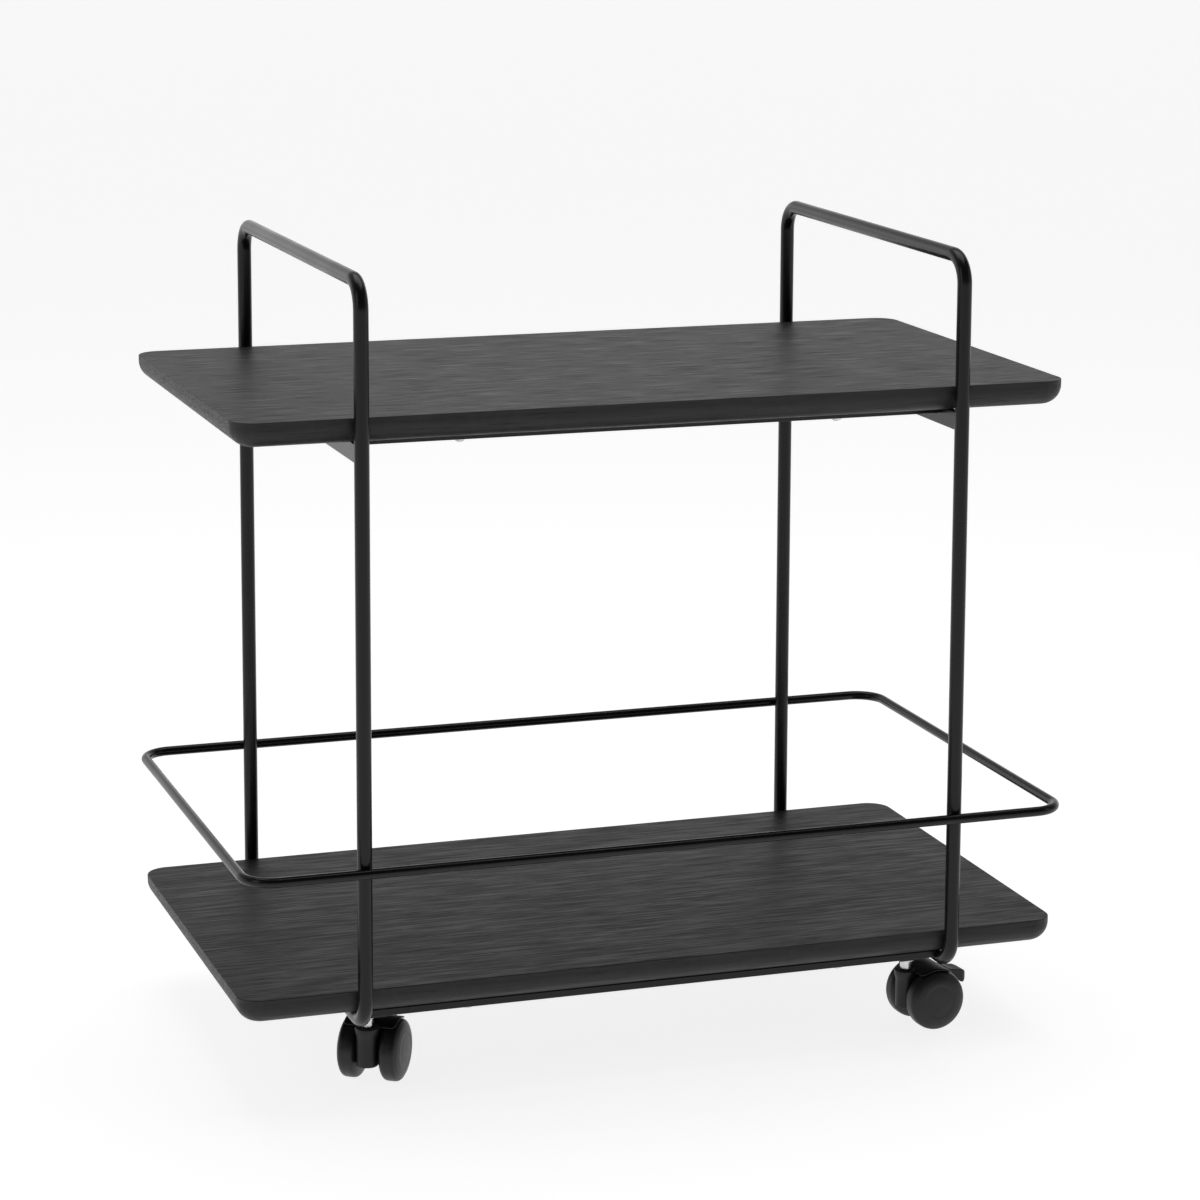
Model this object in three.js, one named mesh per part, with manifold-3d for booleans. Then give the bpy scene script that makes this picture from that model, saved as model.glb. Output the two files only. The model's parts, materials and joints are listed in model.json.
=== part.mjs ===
// Two-shelf serving cart on four twin-wheel casters.
// Millimetres, +Z up. X runs along the shelves, Y from the front to the rear.
// Origin: on the floor, under the centre of the cart.

import * as THREE from 'three';
import { mergeVertices } from 'three/addons/utils/BufferGeometryUtils.js';
import Module from 'manifold-3d';

const wasm = await Module();
wasm.setup();

// ---------------------------------------------------------------- driving dimensions

const GAP = 0.3;                  // clearance between faces that touch on the real cart

const SHELF_LENGTH = 700;
const SHELF_DEPTH = 376;
const SHELF_THICKNESS = 21;
const SHELF_CORNER_RADIUS = 20;
const SHELF_UNDER_EDGE_RADIUS = 16;
const LOWER_SHELF_TOP = 97;
const UPPER_SHELF_TOP = 555.5;

const ROD_RADIUS = 6;             // round bar of the two hoops
const HOOP_X = 251.4;             // hoop plane, measured from the middle of the cart
const HOOP_TOP = 667.3;           // overall height
const HOOP_BOTTOM = 63.5;         // underside of the bottom runs
const HOOP_BEND_RADIUS = 22.5;

const FLAT_BAR_WIDTH = 15;
const FLAT_BAR_THICKNESS = 6;
const STRETCHER_Y = { upper: 149, lower: 168 };  // centre lines of the bars under the shelves

const RAIL_RADIUS = 4;            // thin round bar of the guard rail
const RAIL_OVERHANG = 1;          // past the ends of the shelf
const RAIL_HEIGHT = 100;          // rail centre above the lower shelf
const RAIL_CORNER_RADIUS = 25;

const SCREW_X = 160;
const SCREW_DEPTH = 10;           // thread length inside the shelf

const CASTER_X = 235.5;           // swivel axes
const CASTER_Y = 138.4;
const CASTER_TRAIL = 18.4;        // axle behind the swivel axis
const WHEEL_RADIUS = 25.4;
const WHEEL_WIDTH = 17.9;
const WHEEL_SPACING = 35.2;       // between the two wheels' middle planes
const WHEEL_FACETS = 24;
const BRAKE_PIVOT = { x: 27.5, z: 40 };

// Swivel angle is the direction in which the wheels trail, in degrees from +X towards +Y.
const CASTERS = [
  { name: 'front_left', sideX: -1, sideY: -1, swivel: 56, brake: true },
  { name: 'front_right', sideX: 1, sideY: -1, swivel: 6, brake: true },
  { name: 'rear_left', sideX: -1, sideY: 1, swivel: 118, brake: false },
  { name: 'rear_right', sideX: 1, sideY: 1, swivel: 201, brake: false },
];

// ---------------------------------------------------------------- derived dimensions

const LEG_Y = SHELF_DEPTH / 2 + GAP + ROD_RADIUS;
const LOWER_SHELF_UNDERSIDE = LOWER_SHELF_TOP - SHELF_THICKNESS;
const UPPER_SHELF_UNDERSIDE = UPPER_SHELF_TOP - SHELF_THICKNESS;
const LOWER_STRETCHER_TOP = LOWER_SHELF_UNDERSIDE - GAP;
const UPPER_STRETCHER_TOP = UPPER_SHELF_UNDERSIDE - GAP;
const HOOP_BOTTOM_CENTRE = HOOP_BOTTOM + ROD_RADIUS;
const HOOP_TOP_CENTRE = HOOP_TOP - ROD_RADIUS;
const RAIL_X = SHELF_LENGTH / 2 + RAIL_OVERHANG - RAIL_RADIUS;
const RAIL_Y = LEG_Y + ROD_RADIUS + GAP + RAIL_RADIUS;
const RAIL_Z = LOWER_SHELF_TOP + RAIL_HEIGHT;
const DEG = Math.PI / 180;

// ---------------------------------------------------------------- materials

const material = (color, roughness, metalness) =>
  new THREE.MeshStandardMaterial({ color, roughness, metalness });

const MATERIALS = {
  wood: material(0x2b2a2c, 0.55, 0),
  steel: material(0x1b1a1c, 0.4, 0.3),
  plastic: material(0x1a1719, 0.5, 0),
  tread: material(0x232022, 0.6, 0),
  zinc: material(0xb9bcc0, 0.3, 1),
};

// ---------------------------------------------------------------- solids

const cart = new THREE.Group();

function solid(geometry) {
  const bare = geometry.clone();
  bare.deleteAttribute('normal');
  bare.deleteAttribute('uv');
  const merged = mergeVertices(bare, 1e-4);
  const mesh = new wasm.Mesh({
    numProp: 3,
    vertProperties: new Float32Array(merged.attributes.position.array),
    triVerts: new Uint32Array(merged.index.array),
  });
  return new wasm.Manifold(mesh);
}

function geometryOf(manifold) {
  const mesh = manifold.getMesh();
  const geometry = new THREE.BufferGeometry();
  geometry.setAttribute('position', new THREE.BufferAttribute(mesh.vertProperties, 3));
  geometry.setIndex(new THREE.BufferAttribute(mesh.triVerts, 1));
  return geometry;
}

function unite(...geometries) {
  return geometries.map(solid).reduce((all, next) => all.add(next));
}

function cut(body, ...geometries) {
  return geometries.reduce((rest, tool) => rest.subtract(solid(tool)), body);
}

function add(name, geometry, materialName, parent = cart) {
  const mesh = new THREE.Mesh(geometry, MATERIALS[materialName]);
  mesh.name = name;
  parent.add(mesh);
  return mesh;
}

// Upright cylinder between two heights.
function post(radius, low, high, x = 0, y = 0, sides = 20) {
  const geometry = new THREE.CylinderGeometry(radius, radius, high - low, sides);
  return geometry.rotateX(Math.PI / 2).translate(x, y, (low + high) / 2);
}

// Cylinder along Y, centred on y = 0.
function crossPin(radius, length, x, z, sides = 16) {
  return new THREE.CylinderGeometry(radius, radius, length, sides).translate(x, 0, z);
}

function box(lowX, highX, lowY, highY, lowZ, highZ) {
  const geometry = new THREE.BoxGeometry(highX - lowX, highY - lowY, highZ - lowZ);
  return geometry.translate((lowX + highX) / 2, (lowY + highY) / 2, (lowZ + highZ) / 2);
}

// Outline in the X-Z plane given a thickness along Y, centred on y = 0.
function plateXZ(shape, width) {
  const geometry = new THREE.ExtrudeGeometry(shape, {
    depth: width,
    bevelEnabled: false,
    curveSegments: 4,
  });
  return geometry.rotateX(Math.PI / 2).translate(0, width / 2, 0);
}

// A closed loop of straight runs and round corners, in the plane of two unit vectors.
// Its stations are only where the loop turns, so a long straight run is one step.
class RoundedLoop extends THREE.Curve {
  constructor(centre, axisU, axisV, halfU, halfV, radius, arcSteps) {
    super();
    this.stations = [];
    const put = (u, v, angle) => this.stations.push({
      point: centre.clone().addScaledVector(axisU, u).addScaledVector(axisV, v),
      tangent: axisU.clone().multiplyScalar(Math.cos(angle)).addScaledVector(axisV, Math.sin(angle)),
    });
    const signs = [[1, -1], [1, 1], [-1, 1], [-1, -1]];
    put(0, -halfV, 0);
    signs.forEach(([signU, signV], corner) => {
      for (let step = 0; step <= arcSteps; step += 1) {
        const angle = (corner + step / arcSteps) * Math.PI / 2;
        const u = signU * (halfU - radius) + radius * Math.sin(angle);
        const v = signV * (halfV - radius) - radius * Math.cos(angle);
        put(u, v, angle);
      }
    });
    put(0, -halfV, 2 * Math.PI);
  }

  station(t) {
    return this.stations[Math.round(t * (this.stations.length - 1))];
  }

  getPointAt(t) {
    return this.station(t).point.clone();
  }

  getTangentAt(t) {
    return this.station(t).tangent.clone();
  }
}

// Round bar bent into the loop. The two end caps meet inside the bar, so only its side is kept.
function loopBar(loop, radius) {
  const section = new THREE.Shape().absarc(0, 0, radius, 0, 2 * Math.PI);
  const geometry = new THREE.ExtrudeGeometry(section, {
    steps: loop.stations.length - 1,
    extrudePath: loop,
    curveSegments: 6,
  });
  const side = geometry.groups.find((group) => group.materialIndex === 1);
  const positions = geometry.attributes.position.array;
  const kept = new THREE.BufferGeometry();
  const slice = positions.slice(side.start * 3, (side.start + side.count) * 3);
  kept.setAttribute('position', new THREE.BufferAttribute(slice, 3));
  return mergeVertices(kept, 1e-3);
}

// ---------------------------------------------------------------- frame

const X_AXIS = new THREE.Vector3(1, 0, 0);
const Y_AXIS = new THREE.Vector3(0, 1, 0);
const Z_AXIS = new THREE.Vector3(0, 0, 1);

function hoop(x, radius = ROD_RADIUS) {
  const centre = new THREE.Vector3(x, 0, (HOOP_TOP_CENTRE + HOOP_BOTTOM_CENTRE) / 2);
  const halfHeight = (HOOP_TOP_CENTRE - HOOP_BOTTOM_CENTRE) / 2;
  const loop = new RoundedLoop(centre, Y_AXIS, Z_AXIS, LEG_Y, halfHeight, HOOP_BEND_RADIUS, 5);
  return loopBar(loop, radius);
}

function guardRail() {
  const centre = new THREE.Vector3(0, 0, RAIL_Z);
  const loop = new RoundedLoop(centre, X_AXIS, Y_AXIS, RAIL_X, RAIL_Y, RAIL_CORNER_RADIUS, 6);
  return loopBar(loop, RAIL_RADIUS);
}

function crossbar(x) {
  const halfThickness = FLAT_BAR_THICKNESS / 2;
  const halfLength = LEG_Y - ROD_RADIUS - GAP;
  const low = UPPER_STRETCHER_TOP - FLAT_BAR_WIDTH;
  return box(x - halfThickness, x + halfThickness, -halfLength, halfLength, low, UPPER_STRETCHER_TOP);
}

function stretcher(halfLength, y, top) {
  const halfWidth = FLAT_BAR_WIDTH / 2;
  const low = top - FLAT_BAR_THICKNESS;
  const bar = box(-halfLength, halfLength, y - halfWidth, y + halfWidth, low, top);
  const holes = [-SCREW_X, SCREW_X].map((x) => post(2.4, low - 1, top + 1, x, y, 12));
  return cut(solid(bar), ...holes);
}

// Coped ends, so that the bar fits round the inner sides of the two hoops' bottom runs.
function cope(bar) {
  return cut(bar, hoop(-HOOP_X, ROD_RADIUS + GAP), hoop(HOOP_X, ROD_RADIUS + GAP));
}

add('hoop_left', hoop(-HOOP_X), 'steel');
add('hoop_right', hoop(HOOP_X), 'steel');
add('guard_rail', guardRail(), 'steel');
add('upper_crossbar_left', crossbar(-HOOP_X), 'steel');
add('upper_crossbar_right', crossbar(HOOP_X), 'steel');

// The upper stretchers end against the crossbars, the lower ones against the hoops' bottom runs.
const UPPER_STRETCHER_HALF = HOOP_X - FLAT_BAR_THICKNESS / 2 - GAP;
const LOWER_STRETCHER_HALF = HOOP_X - 0.7 * ROD_RADIUS;
for (const [end, side] of [['front', -1], ['rear', 1]]) {
  const upper = stretcher(UPPER_STRETCHER_HALF, side * STRETCHER_Y.upper, UPPER_STRETCHER_TOP);
  const lower = stretcher(LOWER_STRETCHER_HALF, side * STRETCHER_Y.lower, LOWER_STRETCHER_TOP);
  add(`upper_stretcher_${end}`, geometryOf(upper), 'steel');
  add(`lower_stretcher_${end}`, geometryOf(cope(lower)), 'steel');
}

// ---------------------------------------------------------------- shelves

function roundedRectangle(length, depth, radius) {
  const x = length / 2;
  const y = depth / 2;
  const shape = new THREE.Shape();
  shape.moveTo(-x + radius, -y);
  shape.absarc(x - radius, -y + radius, radius, -Math.PI / 2, 0);
  shape.absarc(x - radius, y - radius, radius, 0, Math.PI / 2);
  shape.absarc(-x + radius, y - radius, radius, Math.PI / 2, Math.PI);
  shape.absarc(-x + radius, -y + radius, radius, Math.PI, 1.5 * Math.PI);
  return shape;
}

// Board with a crisp top edge and a rounded under-edge.
// It is extruded rounded on both sides, and the part above the top face is cut away.
function shelf(top, stretcherY) {
  const round = SHELF_UNDER_EDGE_RADIUS;
  const underside = top - SHELF_THICKNESS;
  const outline = roundedRectangle(SHELF_LENGTH, SHELF_DEPTH, SHELF_CORNER_RADIUS);
  const board = new THREE.ExtrudeGeometry(outline, {
    depth: SHELF_THICKNESS,
    bevelThickness: round,
    bevelSize: round,
    bevelOffset: -round,
    bevelSegments: 4,
    curveSegments: 4,
  }).translate(0, 0, underside + round);
  const over = top + 2 * SHELF_THICKNESS;
  const above = box(-SHELF_LENGTH, SHELF_LENGTH, -SHELF_DEPTH, SHELF_DEPTH, top, over);
  const holes = [];
  for (const x of [-SCREW_X, SCREW_X]) {
    for (const y of [-stretcherY, stretcherY]) {
      holes.push(post(2.4, underside - 1, underside + SCREW_DEPTH + 1, x, y, 12));
    }
  }
  return geometryOf(cut(solid(board), above, ...holes));
}

add('upper_shelf', shelf(UPPER_SHELF_TOP, STRETCHER_Y.upper), 'wood');
add('lower_shelf', shelf(LOWER_SHELF_TOP, STRETCHER_Y.lower), 'wood');

// Pan-head screw driven up through a stretcher. z = 0 is the underside of the stretcher.
function screw() {
  const headHeight = 2.5;
  const tip = FLAT_BAR_THICKNESS + GAP + SCREW_DEPTH;
  const profile = [
    [0, -GAP - headHeight],
    [2.6, -GAP - headHeight],
    [4, -GAP - 1.2],
    [4.2, -GAP],
    [2, -GAP],
    [2, tip - 3],
    [0, tip],
  ].map(([r, z]) => new THREE.Vector2(r, z));
  return new THREE.LatheGeometry(profile, 12).rotateX(Math.PI / 2);
}

for (const [level, top] of [['upper', UPPER_STRETCHER_TOP], ['lower', LOWER_STRETCHER_TOP]]) {
  for (const [end, sideY] of [['front', -1], ['rear', 1]]) {
    for (const [hand, sideX] of [['left', -1], ['right', 1]]) {
      const mesh = add(`${level}_screw_${end}_${hand}`, screw(), 'zinc');
      mesh.position.set(sideX * SCREW_X, sideY * STRETCHER_Y[level], top - FLAT_BAR_THICKNESS);
    }
  }
}

// ---------------------------------------------------------------- casters
// Each caster is drawn on its own swivel axis: x is the trailing direction, y the axle, z up.

const AXLE = { x: CASTER_TRAIL, z: WHEEL_RADIUS };
const FORK_HALF = 8;              // body between the wheels
const FORK_BOTTOM = 17;
const NECK_RADIUS = 8.2;
const NECK_TOP_RADIUS = 10;
const NECK_TOP = 49.7;
const HOOD_CLEARANCE = 0.8;       // between a wheel's crown and the hood over it
const HOOD_SHELL = 1.6;
const HOOD_OUTER = WHEEL_RADIUS + HOOD_CLEARANCE + HOOD_SHELL;
const HOOD_HALF_WIDTH = 24.5;
const HOOD_FRONT_ANGLE = 123;     // degrees about the axle, from the trailing direction upwards
const HOOD_REAR_ANGLE = { braked: 58, plain: 36 };
const LEVER_SLOT_HALF = 4.4;
const PLATE = { thickness: 5, halfLength: 17, inner: 13, low: 61.5 };
const NUT = { acrossFlats: 17, height: 7.5 };
const STEM_TOP = 75;
const STEM_PIN_RADIUS = 3.9;
const STEM_GROOVE_RADIUS = 3;
const CLIP = { low: 38, thickness: 1.2, inner: 3.3, outer: 5.2 };

// The wheel's radius falls off towards its sides. share is 0 in its middle plane, 1 at a face.
const crownDrop = (share) => 0.38 * WHEEL_RADIUS * Math.abs(share) ** 4.6;

// Side outline of the body between the wheels: neck, axle boss and the web under the hood.
function forkOutline() {
  const bossRadius = 11;
  const webRadius = HOOD_OUTER - HOOD_SHELL / 2;
  const shape = new THREE.Shape();
  shape.absarc(AXLE.x, AXLE.z, bossRadius, -110 * DEG, -10 * DEG);
  shape.lineTo(AXLE.x + 12, 40);
  shape.absarc(AXLE.x, AXLE.z, webRadius, 60 * DEG, HOOD_FRONT_ANGLE * DEG);
  shape.lineTo(0, NECK_TOP - 2);
  shape.lineTo(0, FORK_BOTTOM);
  return shape;
}

// Shell turned about the axle. It keeps its distance from the wheels' crowned treads.
function hood(rearAngle) {
  const wheelMiddle = WHEEL_SPACING / 2;
  const reaches = [0, 0.3, 0.5].map((share) => share * WHEEL_WIDTH / 2);
  const half = reaches.map((reach) => ({
    y: wheelMiddle + reach,
    r: WHEEL_RADIUS + HOOD_CLEARANCE - crownDrop(2 * reach / WHEEL_WIDTH),
  }));
  const across = [...half.map(({ y, r }) => ({ y: -y, r })).reverse(), ...half];
  const section = [
    ...across.map(({ y, r }) => [r + HOOD_SHELL, y]),
    ...across.map(({ y, r }) => [r, y]).reverse(),
  ].map(([r, y]) => new THREE.Vector2(r, y));
  section.push(section[0].clone());
  const ring = new THREE.LatheGeometry(section, 48).translate(AXLE.x, 0, AXLE.z);
  const wedge = new THREE.Shape();
  wedge.absarc(AXLE.x, AXLE.z, 2 * HOOD_OUTER, rearAngle * DEG, HOOD_FRONT_ANGLE * DEG);
  wedge.lineTo(AXLE.x, AXLE.z);
  return solid(ring).intersect(solid(plateXZ(wedge, 4 * HOOD_HALF_WIDTH)));
}

function casterHousing(brake) {
  const rearAngle = brake ? HOOD_REAR_ANGLE.braked : HOOD_REAR_ANGLE.plain;
  let body = unite(
    plateXZ(forkOutline(), 2 * FORK_HALF),
    post(NECK_RADIUS, FORK_BOTTOM, NECK_TOP - 1, 0, 0, 24),
    post(NECK_TOP_RADIUS, 44, NECK_TOP, 0, 0, 24),
  ).add(hood(rearAngle));
  const stemBore = post(STEM_PIN_RADIUS + GAP, 27.5, NECK_TOP + 1);
  const clipLow = CLIP.low - GAP;
  const clipRecess = post(CLIP.outer + GAP, clipLow, CLIP.low + CLIP.thickness + GAP);
  const collarRecess = post(5.7, NECK_TOP, AXLE.z + HOOD_OUTER);
  const axleBore = crossPin(2.8, 3 * FORK_HALF, AXLE.x, AXLE.z);
  body = cut(body, stemBore, clipRecess, collarRecess, axleBore);
  if (brake) {
    const slot = box(21.5, 45, -LEVER_SLOT_HALF, LEVER_SLOT_HALF, 33, 48);
    body = cut(body, slot, crossPin(1.8, 3 * FORK_HALF, BRAKE_PIVOT.x, BRAKE_PIVOT.z));
  }
  return geometryOf(body);
}

// Wheel with a rounded tread, a slightly domed face and a blind axle bore in its inner side.
// side is +1 or -1, for the wheel on the +y or the -y side of the body.
function wheel(side) {
  const toFacetCorner = 1 / Math.cos(Math.PI / WHEEL_FACETS);
  const middle = WHEEL_SPACING / 2;
  const inner = middle - WHEEL_WIDTH / 2;
  const outer = middle + WHEEL_WIDTH / 2;
  const crown = [-1, -0.85, -0.65, -0.3, 0.3, 0.65, 0.85, 1].map((share) => [
    (WHEEL_RADIUS - crownDrop(share)) * toFacetCorner,
    middle + share * WHEEL_WIDTH / 2,
  ]);
  const profile = [
    [0, outer - 4.5],
    [2.8, outer - 4.5],
    [2.8, inner],
    ...crown,
    [0, outer + 0.3],
  ].map(([r, y]) => new THREE.Vector2(r, side * y));
  if (side < 0) {
    profile.reverse();
  }
  // Half a facet of turn puts a flat facet on the floor.
  return new THREE.LatheGeometry(profile, WHEEL_FACETS, Math.PI / WHEEL_FACETS);
}

// Pedal at the tail of the hood, with an arm that reaches between the cheeks to its pin.
function brakeLever() {
  const pedal = new THREE.Shape([
    [34.6, 48], [34.9, 46.9], [37.6, 44.8], [41, 42], [44.4, 38.4], [47, 35.2], [48.8, 33.6], [51.2, 33],
    [53.8, 34.8], [55, 38], [54.6, 41.4], [52.4, 44.6], [49, 46.2], [44.4, 46.6], [39.6, 47], [36, 48.2],
  ].map(([x, z]) => new THREE.Vector2(x, z)));
  const arm = new THREE.Shape([
    [27, 36.6], [31, 37], [38, 44], [36.5, 47], [34.7, 47.4], [27.5, 43.6], [24, 41.5], [24, 38],
  ].map(([x, z]) => new THREE.Vector2(x, z)));
  const body = unite(plateXZ(pedal, 21), plateXZ(arm, 2 * (LEVER_SLOT_HALF - 0.4)));
  return geometryOf(cut(body, crossPin(1.8, 20, BRAKE_PIVOT.x, BRAKE_PIVOT.z)));
}

function ring(inner, outer, low, high) {
  return cut(solid(post(outer, low, high)), post(inner, low - 1, high + 1));
}

// Threaded stem: a grooved pin in the neck, a collar, wrench flats and the thread through the plate.
function stem() {
  const hexLow = 57.4;
  const hexTop = PLATE.low - GAP;
  const grooveTop = CLIP.low + CLIP.thickness + GAP;
  const body = unite(
    post(STEM_PIN_RADIUS, 28, 52),
    post(5.2, NECK_TOP + GAP, hexLow + 0.5),
    post(14 / Math.sqrt(3), hexLow, hexTop, 0, 0, 6),
    post(4.9, hexTop - 1, STEM_TOP),
  );
  const groove = ring(STEM_GROOVE_RADIUS, STEM_PIN_RADIUS + 1, CLIP.low - GAP, grooveTop);
  return geometryOf(body.subtract(groove));
}

// Spring ring that sits in the housing and holds the stem by its groove.
function stemClip() {
  const ringShape = ring(CLIP.inner, CLIP.outer, CLIP.low, CLIP.low + CLIP.thickness);
  return geometryOf(ringShape);
}

function stemNut() {
  const low = PLATE.low + PLATE.thickness + GAP;
  const nut = post(NUT.acrossFlats / Math.sqrt(3), low, low + NUT.height, 0, 0, 6);
  return geometryOf(cut(solid(nut), post(5.3, low - 1, low + NUT.height + 1)));
}

// Welded to the inner side of a hoop's bottom run. Drawn for the right-hand hoop.
function mountingPlate() {
  const reach = HOOP_X - ROD_RADIUS - GAP - CASTER_X;
  const top = PLATE.low + PLATE.thickness;
  const plate = box(-PLATE.inner, reach, -PLATE.halfLength, PLATE.halfLength, PLATE.low, top);
  return cut(solid(plate), post(5.3, PLATE.low - 1, top + 1));
}

for (const { name, sideX, sideY, swivel, brake } of CASTERS) {
  const base = new THREE.Group();
  base.position.set(sideX * CASTER_X, sideY * CASTER_Y, 0);
  cart.add(base);
  const plate = add(`caster_plate_${name}`, geometryOf(mountingPlate()), 'steel', base);
  plate.rotation.z = sideX > 0 ? 0 : Math.PI;
  add(`stem_nut_${name}`, stemNut(), 'zinc', base);
  add(`stem_${name}`, stem(), 'zinc', base);

  const swivelling = new THREE.Group();
  swivelling.rotation.z = swivel * DEG;
  base.add(swivelling);
  add(`caster_housing_${name}`, casterHousing(brake), 'plastic', swivelling);
  add(`stem_clip_${name}`, stemClip(), 'zinc', swivelling);
  add(`axle_${name}`, crossPin(2.5, 2 * 20.8, AXLE.x, AXLE.z), 'zinc', swivelling);
  for (const [hand, side] of [['a', -1], ['b', 1]]) {
    const mesh = add(`wheel_${name}_${hand}`, wheel(side), 'tread', swivelling);
    mesh.position.set(AXLE.x, 0, AXLE.z);
  }
  if (brake) {
    add(`brake_lever_${name}`, brakeLever(), 'plastic', swivelling);
    const pinLength = 2 * FORK_HALF - 0.6;
    const pin = crossPin(1.5, pinLength, BRAKE_PIVOT.x, BRAKE_PIVOT.z);
    add(`brake_pin_${name}`, pin, 'zinc', swivelling);
  }
}

export default cart;
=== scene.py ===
"""Looks of the serving cart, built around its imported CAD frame. Metres, +Z up."""

import json
import math

import bmesh
import bpy
from mathutils import Matrix, Vector


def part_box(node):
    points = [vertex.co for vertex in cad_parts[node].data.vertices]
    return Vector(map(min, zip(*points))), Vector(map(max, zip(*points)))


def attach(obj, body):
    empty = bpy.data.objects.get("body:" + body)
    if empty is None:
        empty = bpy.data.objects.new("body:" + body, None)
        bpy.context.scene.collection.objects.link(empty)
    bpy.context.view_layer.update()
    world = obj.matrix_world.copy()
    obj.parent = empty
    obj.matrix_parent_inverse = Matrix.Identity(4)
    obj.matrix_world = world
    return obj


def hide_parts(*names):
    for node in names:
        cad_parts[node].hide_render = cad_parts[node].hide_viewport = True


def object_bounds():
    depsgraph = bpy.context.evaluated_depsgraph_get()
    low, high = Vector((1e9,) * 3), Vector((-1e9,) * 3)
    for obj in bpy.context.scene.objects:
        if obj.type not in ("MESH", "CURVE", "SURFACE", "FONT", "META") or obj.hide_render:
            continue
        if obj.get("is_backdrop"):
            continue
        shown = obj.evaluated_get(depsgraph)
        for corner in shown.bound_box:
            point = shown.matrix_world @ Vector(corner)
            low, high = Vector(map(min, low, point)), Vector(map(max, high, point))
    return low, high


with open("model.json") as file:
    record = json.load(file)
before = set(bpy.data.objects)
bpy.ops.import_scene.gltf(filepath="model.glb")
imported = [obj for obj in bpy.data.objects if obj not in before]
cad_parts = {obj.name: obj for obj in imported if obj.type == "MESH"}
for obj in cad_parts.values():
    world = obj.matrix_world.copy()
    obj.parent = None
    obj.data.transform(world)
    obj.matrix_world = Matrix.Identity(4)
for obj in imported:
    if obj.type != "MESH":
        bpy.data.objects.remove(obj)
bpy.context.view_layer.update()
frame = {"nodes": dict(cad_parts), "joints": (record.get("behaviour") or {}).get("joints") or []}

MM = 0.001
NODES = frame["nodes"]
JOINTS = {joint["name"]: joint for joint in frame["joints"]}
CART = "cart"
CASTERS = ("front_left", "front_right", "rear_left", "rear_right")
BRAKED = ("front_left", "front_right")
SHARP_ANGLE = math.radians(35)
ALL_SMOOTH = math.pi                # no edge of a melted moulding counts as sharp
FLOOR_GLOW = 0.84

# ------------------------------------------------------------------ shader nodes


class Shader:
    """A Principled material and short ways to add nodes to it."""

    def __init__(self, name, **constants):
        self.material = bpy.data.materials.new(name)
        self.material.use_nodes = True
        self.tree = self.material.node_tree
        self.surface = self.tree.nodes["Principled BSDF"]
        for socket, value in constants.items():
            self.surface.inputs[socket.replace("_", " ")].default_value = value
        self.place = self.tree.nodes.new("ShaderNodeTexCoord").outputs["Object"]

    def node(self, kind, inputs=(), output=0, **settings):
        made = self.tree.nodes.new("ShaderNode" + kind)
        for key, value in settings.items():
            setattr(made, key, value)
        for key, value in dict(inputs).items():
            if isinstance(value, bpy.types.NodeSocket):
                self.tree.links.new(value, made.inputs[key])
            else:
                made.inputs[key].default_value = value
        return made.outputs[output]

    def stretched(self, *scale):
        """Object coordinates multiplied by a scale on each axis."""
        return self.node("Mapping", {"Vector": self.place, "Scale": scale})

    def noise(self, scale, detail=2.0, roughness=0.5, vector=None):
        inputs = {"Vector": vector or self.place, "Scale": scale, "Detail": detail}
        return self.node("TexNoise", {**inputs, "Roughness": roughness})

    def remap(self, value, low, high, to_low, to_high):
        inputs = {"Value": value, "From Min": low, "From Max": high}
        inputs.update({"To Min": to_low, "To Max": to_high})
        return self.node("MapRange", inputs)

    def math(self, operation, first, second):
        return self.node("Math", {0: first, 1: second}, operation=operation)

    def mix(self, amount, first, second):
        inputs = {"Factor": amount, "A": first, "B": second}
        made = self.tree.nodes.new("ShaderNodeMix")
        made.data_type = "RGBA"
        sockets = {"Factor": made.inputs[0], "A": made.inputs[6], "B": made.inputs[7]}
        for key, value in inputs.items():
            if isinstance(value, bpy.types.NodeSocket):
                self.tree.links.new(value, sockets[key])
            else:
                sockets[key].default_value = value
        return made.outputs[2]

    def convex_edge_mask(self, radius):
        """About 1 on convex edges and 0 on flats, from the geometry alone."""
        pointiness = self.node("NewGeometry", output=7)
        return self.remap(pointiness, 0.5, 0.5 + radius, 0.0, 1.0)

    def bump(self, height, distance, strength=1.0, normal=None):
        inputs = {"Height": height, "Distance": distance, "Strength": strength}
        if normal is not None:
            inputs["Normal"] = normal
        return self.node("Bump", inputs)

    def wire(self, socket, output):
        self.tree.links.new(output, self.surface.inputs[socket])


def grey(value, blue=1.0):
    return (value, value, value * blue, 1.0)


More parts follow.
